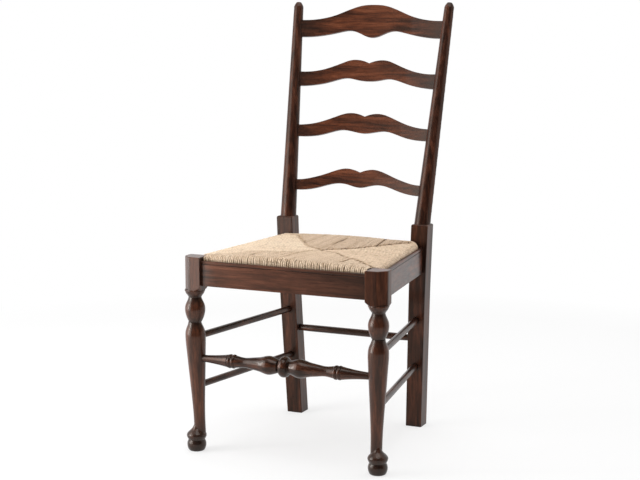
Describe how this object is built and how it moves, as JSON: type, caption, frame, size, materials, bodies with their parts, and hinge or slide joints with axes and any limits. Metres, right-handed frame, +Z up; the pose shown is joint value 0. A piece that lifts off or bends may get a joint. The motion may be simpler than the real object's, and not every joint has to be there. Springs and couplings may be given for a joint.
{
  "type": "ladderback chair",
  "caption": "Wooden ladderback dining chair with shaped slats, turned front legs and stretcher, round side stretchers and a drop-in woven rush seat.",
  "frame": {"origin": "middle of the chair's footprint box, on the floor", "axes": "+Z up, +X to the right seen from the front, +Y to the back of the chair"},
  "size_m": [0.5396, 0.5934, 1.1073],
  "materials": {
    "stained_wood": "satin",
    "plain_wood": "sawn",
    "rush": "woven",
    "screw_steel": "plain"
  },
  "bodies": {
    "frame": {"back_leg_left": "stained_wood", "back_leg_right": "stained_wood", "back_rail": "stained_wood", "back_stretcher": "stained_wood", "corner_block_back_left": "plain_wood", "corner_block_back_right": "plain_wood", "corner_block_front_left": "plain_wood", "corner_block_front_right": "plain_wood", "corner_block_screws": "screw_steel", "front_leg_left": "stained_wood", "front_leg_right": "stained_wood", "front_rail": "stained_wood", "front_stretcher": "stained_wood", "side_rail_left": "stained_wood", "side_rail_right": "stained_wood", "side_stretcher_lower_left": "stained_wood", "side_stretcher_lower_right": "stained_wood", "side_stretcher_upper_left": "stained_wood", "side_stretcher_upper_right": "stained_wood", "slat_bottom": "stained_wood", "slat_lower": "stained_wood", "slat_top": "stained_wood", "slat_upper": "stained_wood"},
    "seat": {"rush_seat": "rush", "seat_frame_back": "plain_wood", "seat_frame_front": "plain_wood", "seat_frame_left": "plain_wood", "seat_frame_right": "plain_wood"}
  },
  "joints": [
    {"name": "seat_lift", "type": "slide", "parent": "frame", "child": "seat", "axis": [0, 0, 1], "range_m": [0, 0.12]}
  ]
}
